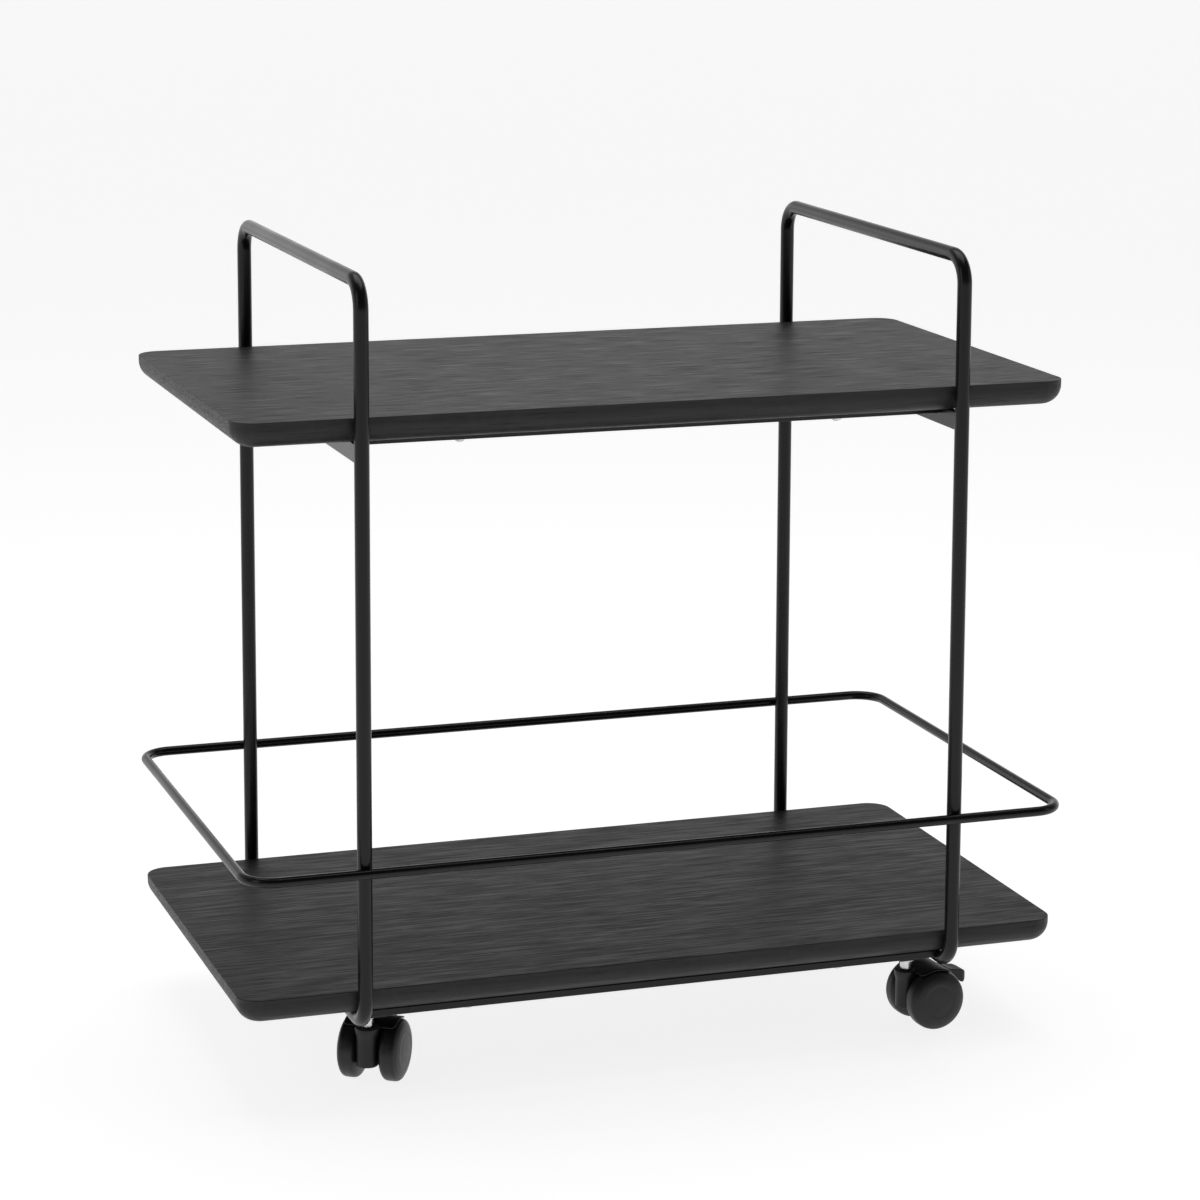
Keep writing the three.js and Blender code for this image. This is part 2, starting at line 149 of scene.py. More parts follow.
def black_wood():
    """Oak under a matt black stain: open pores and soft figure along X, with a painted highlight
    along its convex edges.
    """
    shader = Shader("black_stained_wood", IOR=1.45)
    shader.surface.inputs["Specular IOR Level"].default_value = 0.35
    # Long soft figure, medium streaks and short dark pores, each drawn out along the grain.
    warp = shader.noise(2.5, 3.0)
    bent = shader.node("VectorMath", {0: shader.place, 1: warp}, operation="ADD")
    along_grain = shader.node("Mapping", {"Vector": bent, "Scale": (0.5, 9.0, 9.0)})
    figure = shader.noise(9.0, 4.0, 0.55, along_grain)
    streaks = shader.noise(60.0, 5.0, 0.6, shader.stretched(0.35, 9.0, 9.0))
    pores = shader.noise(120.0, 2.0, 0.5, shader.stretched(0.28, 8.0, 8.0))
    pore_mask = shader.remap(pores, 0.62, 0.72, 0.0, 1.0)
    broad, fine = shader.math("MULTIPLY", figure, 0.55), shader.math("MULTIPLY", streaks, 0.45)
    tone = shader.math("ADD", broad, fine)
    spread = shader.remap(tone, 0.38, 0.62, 0.0, 1.0)
    colour = shader.mix(spread, (0.003, 0.0028, 0.0038, 1), (0.0105, 0.0098, 0.0125, 1))
    colour = shader.mix(pore_mask, colour, grey(0.003, 1.1))
    # Convex edges painted lighter: a painted highlight along the arris, standing in for the bevel
    # catching the light.
    wear_and_painted_highlight = shader.math("MULTIPLY", shader.convex_edge_mask(0.08), 0.8)
    shader.wire("Base Color", shader.mix(wear_and_painted_highlight, colour, grey(0.07)))
    rough = shader.remap(streaks, 0.38, 0.62, 0.38, 0.62)
    shader.wire("Roughness", shader.math("ADD", rough, shader.math("MULTIPLY", pore_mask, 0.15)))
    relief = shader.math("SUBTRACT", shader.math("MULTIPLY", streaks, 0.5), pore_mask)
    shader.wire("Normal", shader.bump(relief, 0.00018, 0.8))
    return shader.material


def black_steel():
    """Satin black powder coat with its fine orange peel."""
    shader = Shader("black_powder_coat", IOR=1.5)
    shader.surface.inputs["Specular IOR Level"].default_value = 0.27
    peel = shader.noise(900.0, 2.0)
    waves = shader.noise(220.0, 1.0)
    patches = shader.noise(14.0, 3.0)
    colour = shader.mix(patches, grey(0.0035, 1.08), grey(0.006, 1.1))
    wear_and_painted_highlight = shader.math("MULTIPLY", shader.convex_edge_mask(0.1), 0.2)
    shader.wire("Base Color", shader.mix(wear_and_painted_highlight, colour, grey(0.05)))
    shader.wire("Roughness", shader.remap(patches, 0.3, 0.7, 0.22, 0.3))
    fine = shader.bump(peel, 0.00002, 0.6)
    shader.wire("Normal", shader.bump(waves, 0.00006, 0.5, fine))
    return shader.material


def black_plastic():
    """Moulded black nylon with a fine spark-eroded texture."""
    shader = Shader("black_moulded_plastic", IOR=1.5)
    shader.surface.inputs["Specular IOR Level"].default_value = 0.4
    grain = shader.noise(2600.0, 2.0)
    patches = shader.noise(40.0, 3.0)
    shader.wire("Base Color", shader.mix(patches, grey(0.006, 1.02), grey(0.009, 1.04)))
    shader.wire("Roughness", shader.remap(patches, 0.3, 0.7, 0.42, 0.52))
    shader.wire("Normal", shader.bump(grain, 0.00003, 0.5))
    return shader.material


def wheel_plastic():
    """Smoother black plastic, dulled by dust and fine scuffs where it rolls."""
    shader = Shader("wheel_plastic", IOR=1.5)
    shader.surface.inputs["Specular IOR Level"].default_value = 0.4
    dust = shader.noise(130.0, 4.0, 0.65)
    scuffs = shader.noise(700.0, 3.0, 0.7)
    dusty = shader.remap(dust, 0.4, 0.75, 0.0, 1.0)
    shader.wire("Base Color", shader.mix(dusty, grey(0.008, 1.02), grey(0.014)))
    shader.wire("Roughness", shader.remap(scuffs, 0.35, 0.7, 0.36, 0.5))
    shader.wire("Normal", shader.bump(scuffs, 0.00003, 0.4))
    return shader.material


def zinc_steel():
    """Bright zinc plate with faint turning marks and dull patches."""
    shader = Shader("zinc_plate", Metallic=1.0)
    patches = shader.noise(160.0, 3.0, 0.6)
    marks = shader.noise(500.0, 2.0, 0.5, shader.stretched(1.0, 1.0, 7.0))
    shader.wire("Base Color", shader.mix(patches, grey(0.55, 1.03), grey(0.78, 1.02)))
    shader.wire("Roughness", shader.remap(marks, 0.35, 0.65, 0.18, 0.36))
    shader.wire("Normal", shader.bump(marks, 0.00002, 0.5))
    return shader.material


def pale_floor():
    """White studio floor, lit through from below so that its shadows stay light."""
    shader = Shader("studio_floor", Roughness=0.8)
    cloud = shader.noise(0.8, 2.0)
    shader.wire("Base Color", shader.mix(cloud, grey(0.40), grey(0.42)))
    shader.surface.inputs["Specular IOR Level"].default_value = 0.1
    shader.surface.inputs["Emission Color"].default_value = grey(1.0)
    shader.surface.inputs["Emission Strength"].default_value = FLOOR_GLOW
    return shader.material


WOOD = black_wood()
STEEL = black_steel()
PLASTIC = black_plastic()
TREAD = wheel_plastic()
ZINC = zinc_steel()

# ------------------------------------------------------------------ mesh building


def unit(angle):
    return Vector((math.cos(angle), math.sin(angle), 0.0))


def loft(rings, closed=False, capped=False):
    """Mesh through rings of equal length: a tube, closed on itself or capped at both ends."""
    shape = bmesh.new()
    rows = [[shape.verts.new(point) for point in ring] for ring in rings]
    pairs = list(zip(rows, rows[1:]))
    if closed:
        pairs.append((rows[-1], rows[0]))
    for low, high in pairs:
        for i in range(len(low)):
            j = (i + 1) % len(low)
            shape.faces.new((low[i], low[j], high[j], high[i]))
    if capped:
        shape.faces.new(list(reversed(rows[0])))
        shape.faces.new(rows[-1])
    bmesh.ops.recalc_face_normals(shape, faces=shape.faces)
    return shape


def lathe(profile, sides):
    """Solid of revolution about Z. The profile is (radius, height) pairs from axis to axis."""
    shape = bmesh.new()
    rows = []
    for radius, height in profile:
        if radius == 0:
            rows.append([shape.verts.new((0, 0, height))])
            continue
        rows.append([
            shape.verts.new((*(radius * unit(2 * math.pi * k / sides)).xy, height))
            for k in range(sides)
        ])
    for low, high in zip(rows, rows[1:]):
        for i in range(sides):
            j = (i + 1) % sides
            corners = [low[i % len(low)], low[j % len(low)]]
            corners += [high[j % len(high)], high[i % len(high)]]
            shape.faces.new(list(dict.fromkeys(corners)))
    bmesh.ops.recalc_face_normals(shape, faces=shape.faces)
    return shape


def rounded_profile(corners, steps=5):
    """(radius, height) pairs with each corner (r, h, fillet) rounded off."""
    points = []
    for k, (r, h, fillet) in enumerate(corners):
        here = Vector((r, h))
        if fillet == 0 or k in (0, len(corners) - 1):
            points.append((r, h))
            continue
        before = Vector(corners[k - 1][:2]) - here
        after = Vector(corners[k + 1][:2]) - here
        start = here + before.normalized() * min(fillet, before.length * 0.49)
        end = here + after.normalized() * min(fillet, after.length * 0.49)
        for step in range(steps + 1):
            t = step / steps
            point = start * (1 - t) ** 2 + here * 2 * t * (1 - t) + end * t * t
            points.append(tuple(point))
    return points


def finish_piece(name, shape, material, body, replaced=(), place=None, sharp=SHARP_ANGLE):
    """Turns a bmesh into a shown piece that rides on a body, in place of its CAD nodes."""
    if place is not None:
        shape.transform(place)
    for face in shape.faces:
        face.smooth = True
    for edge in shape.edges:
        edge.smooth = edge.is_manifold and edge.calc_face_angle(0.0) < sharp
    mesh = bpy.data.meshes.new(name)
    shape.to_mesh(mesh)
    shape.free()
    mesh.materials.append(material)
    piece = bpy.data.objects.new(name, mesh)
    bpy.context.scene.collection.objects.link(piece)
    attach(piece, body)
    if replaced:
        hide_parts(*replaced)
    return piece


def rounded_loop(half_u, half_v, radius, steps):
    """Stations (u, v, outward u, outward v) round a rectangle with round corners."""
    stations = []
    for corner, (side_u, side_v) in enumerate(((1, -1), (1, 1), (-1, 1), (-1, -1))):
        for step in range(steps + 1):
            angle = (corner - 1 + step / steps) * math.pi / 2
            u = side_u * (half_u - radius) + radius * math.cos(angle)
            v = side_v * (half_v - radius) + radius * math.sin(angle)
            stations.append((u, v, math.cos(angle), math.sin(angle)))
    return stations


def bent_bar(centre, axis_u, axis_v, half_u, half_v, radius, bend, steps=18, sides=28):
    """Closed loop of round bar. half_u and half_v are measured to the bar's centre line."""
    normal = axis_u.cross(axis_v)
    rings = []
    for u, v, out_u, out_v in rounded_loop(half_u, half_v, bend, steps):
        middle = centre + axis_u * u + axis_v * v
        outward = axis_u * out_u + axis_v * out_v
        rings.append([
            middle + radius * (math.cos(turn) * outward + math.sin(turn) * normal)
            for turn in (2 * math.pi * k / sides for k in range(sides))
        ])
    return loft(rings, closed=True)


def flat_bar(low, high, edge=0.7 * MM, holes=()):
    """Box with softened edges, drilled upright at each (x, y, radius) in holes."""
    shape = bmesh.new()
    bmesh.ops.create_cube(shape, size=1.0)
    size = high - low
    shape.transform(Matrix.Translation((low + high) / 2) @ Matrix.Diagonal((*size, 1.0)))
    bmesh.ops.bevel(
        shape, geom=list(shape.edges), offset=edge, segments=3, profile=0.5, affect="EDGES"
    )
    for x, y, radius in holes:
        under, over = low.z - 10 * MM, high.z + 10 * MM
        drill = lathe([(0, under), (radius, under), (radius, over), (0, over)], 32)
        drill.transform(Matrix.Translation((x, y, 0)))
        shape = boolean(shape, drill, "DIFFERENCE")
    return shape


def boolean(first, second, operation):
    """Joins or cuts two bmeshes and returns the result as a new one."""
    objects = []
    for shape in (first, second):
        mesh = bpy.data.meshes.new("scratch")
        shape.to_mesh(mesh)
        shape.free()
        made = bpy.data.objects.new("scratch", mesh)
        bpy.context.scene.collection.objects.link(made)
        objects.append(made)
    modifier = objects[0].modifiers.new("boolean", "BOOLEAN")
    modifier.object = objects[1]
    modifier.operation = operation
    modifier.solver = "EXACT"
    result = bmesh.new()
    result.from_object(objects[0], bpy.context.evaluated_depsgraph_get())
    for made in objects:
        mesh = made.data
        bpy.data.objects.remove(made)
        bpy.data.meshes.remove(mesh)
    return result


def prism(outline, low, high):
    """Upright solid over an outline of (x, y) points."""
    return loft([[Vector((x, y, z)) for x, y in outline] for z in (low, high)], capped=True)


def arc(centre, radius, start, end, steps):
    """(x, y) points along an arc. Angles in degrees."""
    turns = (math.radians(start + (end - start) * k / steps) for k in range(steps + 1))
    return [(centre[0] + radius * math.cos(t), centre[1] + radius * math.sin(t)) for t in turns]


def melt(shape, voxel, rounds):
    """Fuses a bmesh into one skin with softened edges, as a moulding has."""
    mesh = bpy.data.meshes.new("scratch")
    shape.to_mesh(mesh)
    shape.free()
    made = bpy.data.objects.new("scratch", mesh)
    bpy.context.scene.collection.objects.link(made)
    remesh = made.modifiers.new("remesh", "REMESH")
    remesh.mode = "VOXEL"
    remesh.voxel_size = voxel
    smooth = made.modifiers.new("smooth", "SMOOTH")
    smooth.factor = 0.5
    smooth.iterations = rounds
    result = bmesh.new()
    result.from_object(made, bpy.context.evaluated_depsgraph_get())
    bpy.data.objects.remove(made)
    bpy.data.meshes.remove(mesh)
    return result


def crisp(piece):
    """Keeps large flat faces flat next to their rounded edges."""
    piece.modifiers.new("weighted_normals", "WEIGHTED_NORMAL").keep_sharp = True
    return piece


# ------------------------------------------------------------------ frame and shelves

X, Y, Z = Vector((1, 0, 0)), Vector((0, 1, 0)), Vector((0, 0, 1))
HOOP_BEND = 22.5 * MM
RAIL_BEND = 25 * MM
SHELF_CORNER = 20 * MM
SHELF_UNDER_EDGE = 16 * MM
SHELF_ARRIS = 0.7 * MM
COPE_GAP = 0.3 * MM
SCREW_HOLE = 2.4 * MM


def hoop_bar(side, grown=0.0):
    """The bent bar of a hoop, or the same bar grown all round."""
    low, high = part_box(f"hoop_{side}")
    radius = (high.x - low.x) / 2
    half = (high - low) / 2 - Vector((radius, radius, radius))
    return bent_bar((low + high) / 2, Y, Z, half.y, half.z, radius + grown, HOOP_BEND)


def hoop(side):
    finish_piece(f"bent_hoop_{side}", hoop_bar(side), STEEL, CART, [f"hoop_{side}"])
    low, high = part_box(f"hoop_{side}")
    radius = (high.x - low.x) / 2
    return (low.x + high.x) / 2, high.y - radius, radius


def guard_rail():
    low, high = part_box("guard_rail")
    radius = (high.z - low.z) / 2
    half = (high - low) / 2 - Vector((radius, radius, radius))
    shape = bent_bar((low + high) / 2, X, Y, half.x, half.y, radius, RAIL_BEND)
    finish_piece("bent_guard_rail", shape, STEEL, CART, ["guard_rail"])


def shelf(level):
    """Board with a crisp arris on top and a rounded under-edge."""
    low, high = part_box(f"{level}_shelf")
    middle = (low + high) / 2
    half = (high - low) / 2
    sections = [(high.z, 2.5 * SHELF_ARRIS)]
    for step in range(4):
        angle = step / 3 * math.pi / 2
        drop = SHELF_ARRIS * (1 - math.cos(angle))
        sections.append((high.z - drop, SHELF_ARRIS * (1 - math.sin(angle))))
    for step in range(11):
        angle = step / 10 * math.pi / 2
        rise = SHELF_UNDER_EDGE * (1 - math.sin(angle))
        sections.append((low.z + rise, SHELF_UNDER_EDGE * (1 - math.cos(angle))))
    sections.append((low.z, SHELF_UNDER_EDGE + SHELF_ARRIS))
    rings = []
    for height, inset in sections:
        loop = rounded_loop(half.x - inset, half.y - inset, SHELF_CORNER - inset, 14)
        rings.append([Vector((middle.x + u, middle.y + v, height)) for u, v, _, _ in loop])
    shape = loft(list(reversed(rings)), capped=True)
    crisp(finish_piece(f"{level}_shelf_board", shape, WOOD, CART, [f"{level}_shelf"]))


def screw_places(level):
    """Middle of each screw of one shelf, from its CAD node."""
    for end in ("front", "rear"):
        for hand in ("left", "right"):
            name = f"{level}_screw_{end}_{hand}"
            low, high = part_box(name)
            yield name, end, (low + high) / 2, low, high


def stretcher(level, end):
    low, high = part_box(f"{level}_stretcher_{end}")
    holes = [
        (middle.x, middle.y, SCREW_HOLE)
        for _, screw_end, middle, _, _ in screw_places(level) if screw_end == end
    ]
    shape = flat_bar(low, high, holes=holes)
    if level == "lower":
        for side in ("left", "right"):
            shape = boolean(shape, hoop_bar(side, COPE_GAP), "DIFFERENCE")
    crisp(finish_piece(f"{level}_flat_bar_{end}", shape, STEEL, CART, [f"{level}_stretcher_{end}"]))


def crossbar(side):
    low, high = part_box(f"upper_crossbar_{side}")
    shape = flat_bar(low, high)
    crisp(finish_piece(f"upper_edge_bar_{side}", shape, STEEL, CART, [f"upper_crossbar_{side}"]))


def cross_recess(depth, reach, width):
    """Tapered cross that a screwdriver leaves in a screw head, pointing up from z = 0."""
    blades = []
    for turn in (0, math.pi / 2):
        rings = []
        for height, size in ((-0.5 * MM, 1.15), (depth, 0.45)):
            corners = ((-1, -1), (1, -1), (1, 1), (-1, 1))
            ring = [Vector((a * reach * size, b * width / 2, height)) for a, b in corners]
            rings.append([Matrix.Rotation(turn, 3, "Z") @ point for point in ring])
        blades.append(loft(rings, capped=True))
    return boolean(blades[0], blades[1], "UNION")


def screw(name, middle, low, high):
    """Pan-head screw, seen from below."""
    head = (high.x - low.x) / 2
    rim = 0.9 * MM
    top = 2.5 * MM
    length = high.z - low.z
    shank = 2.0 * MM
    profile = [(0, 0)]
    for step in range(1, 9):
        angle = step / 8 * math.pi / 2
        profile.append((head * math.sin(angle), (top - rim) * (1 - math.cos(angle))))
    profile += [(head, top), (shank, top), (shank, length - 3 * MM), (0, length)]
    shape = boolean(lathe(profile, 40), cross_recess(1.5 * MM, 2.1 * MM, 0.9 * MM), "DIFFERENCE")
    turned = Matrix.Rotation(0.7 + 30 * middle.x, 4, "Z")   # each recess stops at its own angle
    place = Matrix.Translation((middle.x, middle.y, low.z)) @ turned
    crisp(finish_piece(f"{name}_driven", shape, ZINC, CART, [name], place))


def weld_bead(name, points, radius, seed):
    """Rippled bead along a short line of points."""
    rings = []
    count = 26
    start, end = points
    along = (end - start).normalized()
    side = along.orthogonal().normalized()
    up = along.cross(side)
    for k in range(count + 1):
        t = k / count
        taper = math.sqrt(max(0.0, 1 - (2 * t - 1) ** 8)) * 0.98 + 0.02
        ripple = 1 + 0.06 * math.sin(9 * math.pi * t * 2 + seed)
        ripple += 0.05 * math.sin(5.3 * t * 6 + 2 * seed)
        size = radius * taper * ripple
        middle = start.lerp(end, t)
        rings.append([
            middle + size * (math.cos(a) * side + math.sin(a) * up)
            for a in (2 * math.pi * j / 12 for j in range(12))
        ])
    finish_piece(name, loft(rings, capped=True), STEEL, CART)


hoops = {side: hoop(side) for side in ("left", "right")}
guard_rail()
for level in ("upper", "lower"):
    shelf(level)
    for end in ("front", "rear"):
        stretcher(level, end)
    for name, _, middle, low, high in screw_places(level):
        screw(name, middle, low, high)
for side in hoops:
    crossbar(side)

# Weld beads: crossbars to legs, and lower stretchers to the hoops' bottom runs.
for side, (hoop_x, leg_y, bar_radius) in hoops.items():
    low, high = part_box(f"upper_crossbar_{side}")
    inset = 1.5 * MM
    for end, leg in (("front", -1), ("rear", 1)):
        y = leg * (leg_y - bar_radius + 0.6 * MM)
        for face, x in (("inner", low.x), ("outer", high.x)):
            start = Vector((x, y, low.z + inset))
            finish = Vector((x, y, high.z - inset))
            weld_bead(f"weld_{side}_{end}_{face}", (start, finish), 1.5 * MM, leg + x * 40)
        bar_low, bar_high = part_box(f"lower_stretcher_{end}")
        x = hoop_x - math.copysign(bar_radius, hoop_x)
        start = Vector((x, bar_low.y + inset, bar_low.z))
        finish = Vector((x, bar_high.y - inset, bar_low.z))
        weld_bead(f"weld_{side}_{end}_foot", (start, finish), 1.5 * MM, leg * 3 + x * 50)

# ------------------------------------------------------------------ casters

HOOD_CLEARANCE = 0.6 * MM
HOOD_SHELL = 1.3 * MM
HOOD_FRONT = 123
HOOD_REAR = {True: 58, False: 36}
HOOD_SHARE = 0.42                   # how far the hood wraps over a wheel's outer half
FORK_HALF = 8.3 * MM
FORK_BOTTOM = 16.8 * MM
NECK_RADIUS = 8.7 * MM
WHEEL_HALF = 8.95 * MM
WHEEL_BORE = 2.7 * MM
AXLE = (2.5 * MM, 20.8 * MM)        # radius and half length
BRAKE_PIN = (1.5 * MM, 7.7 * MM)
STEM_RADIUS = 3.9 * MM
STEM_COLLAR = 5.2 * MM
THREAD_RADIUS, THREAD_PITCH = 4.9 * MM, 1.5 * MM
STEM_FLATS, NUT_FLATS = 14 * MM, 17 * MM
NUT_BORE = 5.1 * MM
PLATE_HOLE = 5.3 * MM
CROWN_FALL = 0.38                   # share of the radius lost at a wheel's face
CROWN_POWER = 4.6


def caster_facts(name):
    """Where a caster stands and which way it trails, from its joints."""
    stand = Vector(JOINTS[f"swivel_{name}"]["pos_m"])
    spin = JOINTS[f"spin_{name}_a"]
    axis = Vector(spin["axis"])
    angle = math.atan2(-axis.x, axis.y)
    place = Matrix.Translation((stand.x, stand.y, 0)) @ Matrix.Rotation(angle, 4, "Z")
    hub = place.inverted() @ Vector(spin["pos_m"])
    return place, Vector((hub.x, 0, hub.z)), abs(hub.y)


def side_solid(outline, half_width):
    """Solid from an (x, z) outline, half_width to each side of the middle."""
    shape = prism(outline, -half_width, half_width)
    shape.transform(Matrix.Rotation(math.pi / 2, 4, "X"))
    return shape


def crown(share, radius, lift=0.0):
    """(lateral, radius) of a crowned tread, share -1 to 1 across it, lifted along its normal."""
    fall = CROWN_FALL * radius * abs(share) ** CROWN_POWER
    slope = CROWN_POWER * CROWN_FALL * radius / WHEEL_HALF * abs(share) ** (CROWN_POWER - 1)
    normal = Vector((math.copysign(slope, share), 1.0)).normalized()
    return Vector((share * WHEEL_HALF, radius - fall)) + lift * normal


def hood_section(radius, spread, share):
    """Closed section of the hood across both wheels, wrapping each as far as share."""
    middle = HOOD_CLEARANCE + HOOD_SHELL / 2
    half = [crown(share * k / 10, radius, middle) for k in range(11)]
    line = [Vector((-spread - p.x, p.y)) for p in reversed(half)]
    line += [Vector((spread + p.x, p.y)) for p in half]
    section = []
    edge = HOOD_SHELL / 2
    for side in (1, -1):
        path = line if side > 0 else list(reversed(line))
        for k, point in enumerate(path):
            along = (path[min(k + 1, len(path) - 1)] - path[max(k - 1, 0)]).normalized()
            section.append(point + edge * Vector((-along.y, along.x)))
        for turn in (-45, -90, -135):
            angle = math.radians(90 + turn)
            across = Vector((-along.y, along.x))
            section.append(path[-1] + edge * (math.sin(angle) * across + math.cos(angle) * along))
    return section


def hood_skin(axle, radius, spread, front, rear):
    """Curved shell over the wheels, round at its corners in plan."""
    rings = []
    steps = 44
    corner = 0.16
    for k in range(steps + 1):
        t = k / steps
        angle = math.radians(front + (rear - front) * t)
        near_end = min(1.0, min(t, 1 - t) / corner)
        share = HOOD_SHARE * (0.12 + 0.88 * math.sqrt(1 - (1 - near_end) ** 2))
        rings.append([
            Vector((axle.x + p.y * math.cos(angle), p.x, axle.z + p.y * math.sin(angle)))
            for p in hood_section(radius, spread, share)
        ])
    return loft(rings, capped=True)


def housing(name, place, axle, spread):
    wheel_low, wheel_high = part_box(f"wheel_{name}_a")
    radius = (wheel_high.z - wheel_low.z) / 2
    braked = name in BRAKED
    web_radius = radius + HOOD_CLEARANCE + HOOD_SHELL / 2
    web = arc((axle.x, axle.z), 11 * MM, -110, -10, 12)
    web += [(axle.x + 12 * MM, 40 * MM)]
    web += arc((axle.x, axle.z), web_radius, 60, HOOD_FRONT, 16)
    web += [(0, 47.7 * MM), (0, FORK_BOTTOM)]
    neck_profile = rounded_profile([
        (0, FORK_BOTTOM, 0), (NECK_RADIUS, FORK_BOTTOM, 0.6 * MM), (NECK_RADIUS, 41 * MM, 3 * MM),
        (10 * MM, 45.5 * MM, 3 * MM), (10 * MM, 49.7 * MM, 1.2 * MM), (0, 49.7 * MM, 0),
    ])
    shape = boolean(side_solid(web, FORK_HALF), lathe(neck_profile, 64), "UNION")
    skin = hood_skin(axle, radius, spread, HOOD_FRONT, HOOD_REAR[braked])
    shape = boolean(shape, skin, "UNION")
    stem_socket = [
        (0, 27 * MM), (4.6 * MM, 27 * MM), (4.6 * MM, 49 * MM), (5.9 * MM, 49.4 * MM),
        (5.9 * MM, 60 * MM), (0, 60 * MM),
    ]
    cutters = [lathe(stem_socket, 48)]
    if braked:
        lever_slot = [
            (21.5 * MM, 33 * MM), (45 * MM, 33 * MM), (45 * MM, 48 * MM), (21.5 * MM, 48 * MM),
        ]
        cutters.append(side_solid(lever_slot, 4.6 * MM))
    for cutter in cutters:
        shape = boolean(shape, cutter, "DIFFERENCE")
    shape = melt(shape, 0.45 * MM, 3)
    replaced = [f"caster_housing_{name}"]
    finish_piece(
        f"caster_hood_{name}", shape, PLASTIC, f"caster_{name}", replaced, place, ALL_SMOOTH
    )


def wheel(name, hand, place, axle, spread):
    """One of a caster's twin wheels: crowned tread, fine groove round its face, hollow inside."""
    low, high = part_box(f"wheel_{name}_{hand}")
    radius = (high.z - low.z) / 2
    half = WHEEL_HALF
    blind_end, hub_face = half - 4.5 * MM, -half + 0.4 * MM
    profile = [(0, blind_end), (WHEEL_BORE, blind_end), (WHEEL_BORE, hub_face)]
    profile += [(6.2 * MM, hub_face), (6.8 * MM, -half + 1.2 * MM), (7 * MM, -half + 6 * MM)]
    profile += [(14.2 * MM, -half + 6 * MM), (14.8 * MM, -half + 1 * MM)]
    groove = {28: -0.25 * MM}
    for k in range(33):
        lateral, tread = crown(k / 16 - 1, radius, groove.get(k, 0.0))
        profile.append((tread, lateral))
    profile += [(0.54 * radius, half + 0.12 * MM), (0.52 * radius, half + 0.02 * MM)]
    profile += [(0.5 * radius, half + 0.14 * MM), (0.2 * radius, half + 0.3 * MM)]
    profile.append((0, half + 0.35 * MM))
    shape = lathe(profile, 112)
    side = -1 if hand == "a" else 1
    turn = Matrix.Rotation(-side * math.pi / 2, 4, "X")
    spot = Matrix.Translation((axle.x, side * spread, axle.z))
    node = f"wheel_{name}_{hand}"
    finish_piece(f"{node}_moulded", shape, TREAD, node, [node], place @ spot @ turn)


def lever(name, place):
    """Brake tab: a thumb-wide tongue with a round tip, and an arm down to its pin."""
    pedal = [
        (34.6, 48), (34.9, 46.9), (37.6, 44.8), (41, 42), (44.4, 38.4), (47, 35.2), (48.8, 33.6),
        (51.2, 33), (53.8, 34.8), (55, 37.6), (54.6, 40.6), (52.4, 43.2), (49, 44.6), (44.4, 45.2),
        (39.6, 46), (36, 47.6),
    ]
    arm = [
        (27, 36.6), (31, 37), (38, 44), (36.5, 47), (34.7, 47.4), (27.5, 43.6), (24, 41.5),
        (24, 38),
    ]
    half_width = 8.5 * MM
    tongue = side_solid([(x * MM, z * MM) for x, z in pedal], half_width)
    tip = arc((49 * MM, 2.5 * MM), 6 * MM, 0, 90, 10)
    root = 30 * MM
    plan = [(root, -half_width)] + [(x, -y) for x, y in reversed(tip)] + tip + [(root, half_width)]
    tongue = boolean(tongue, prism(plan, 30 * MM, 54 * MM), "INTERSECT")
    shape = boolean(tongue, side_solid([(x * MM, z * MM) for x, z in arm], 4 * MM), "UNION")
    shape = melt(shape, 0.4 * MM, 3)
    node = f"brake_lever_{name}"
    finish_piece(f"{node}_moulded", shape, PLASTIC, node, [node], place, ALL_SMOOTH)


def pin(node, body, radius, half_length, spot, place):
    """Plain pin across a caster, with chamfered ends."""
    chamfer = 0.4 * MM
    shoulder = half_length - chamfer
    profile = [(0, -half_length), (radius - chamfer, -half_length), (radius, -shoulder)]
    profile += [(radius, shoulder), (radius - chamfer, half_length), (0, half_length)]
    shape = lathe(profile, 40)
    turn = Matrix.Translation(spot) @ Matrix.Rotation(math.pi / 2, 4, "X")
    crisp(finish_piece(f"{node}_turned", shape, ZINC, body, [node], place @ turn))


def hexagon(across_flats, low, high, chamfer):
    """Hexagonal bar between two heights, its corners turned off at both ends."""
    corner = across_flats / math.sqrt(3)
    bar = prism([(corner * math.cos(a), corner * math.sin(a))
                 for a in (math.pi / 3 * k for k in range(6))], low, high)
    cone = [(0, low), (corner - chamfer, low), (corner + 0.1 * MM, low + 0.6 * chamfer)]
    cone += [(corner + 0.1 * MM, high - 0.6 * chamfer), (corner - chamfer, high), (0, high)]
    return boolean(bar, lathe(cone, 64), "INTERSECT")


def thread(radius, pitch, low, high):
    """Helical thread between two heights, as one closed solid."""
    sides, per_pitch = 40, 8
    rows = round((high - low) / pitch * per_pitch)
    depth = 0.6 * pitch
    rings = []
    for row in range(rows + 1):
        z = low + (high - low) * row / rows
        fade = min(1.0, (high - z) / pitch)
        ring = []
        for k in range(sides):
            phase = ((z - low) / pitch - k / sides) % 1.0
            groove = abs(2 * phase - 1)
            r = radius - depth * groove - 0.6 * depth * (1 - fade)
            ring.append(r * unit(2 * math.pi * k / sides) + z * Z)
        rings.append(ring)
    return loft(rings, capped=True)


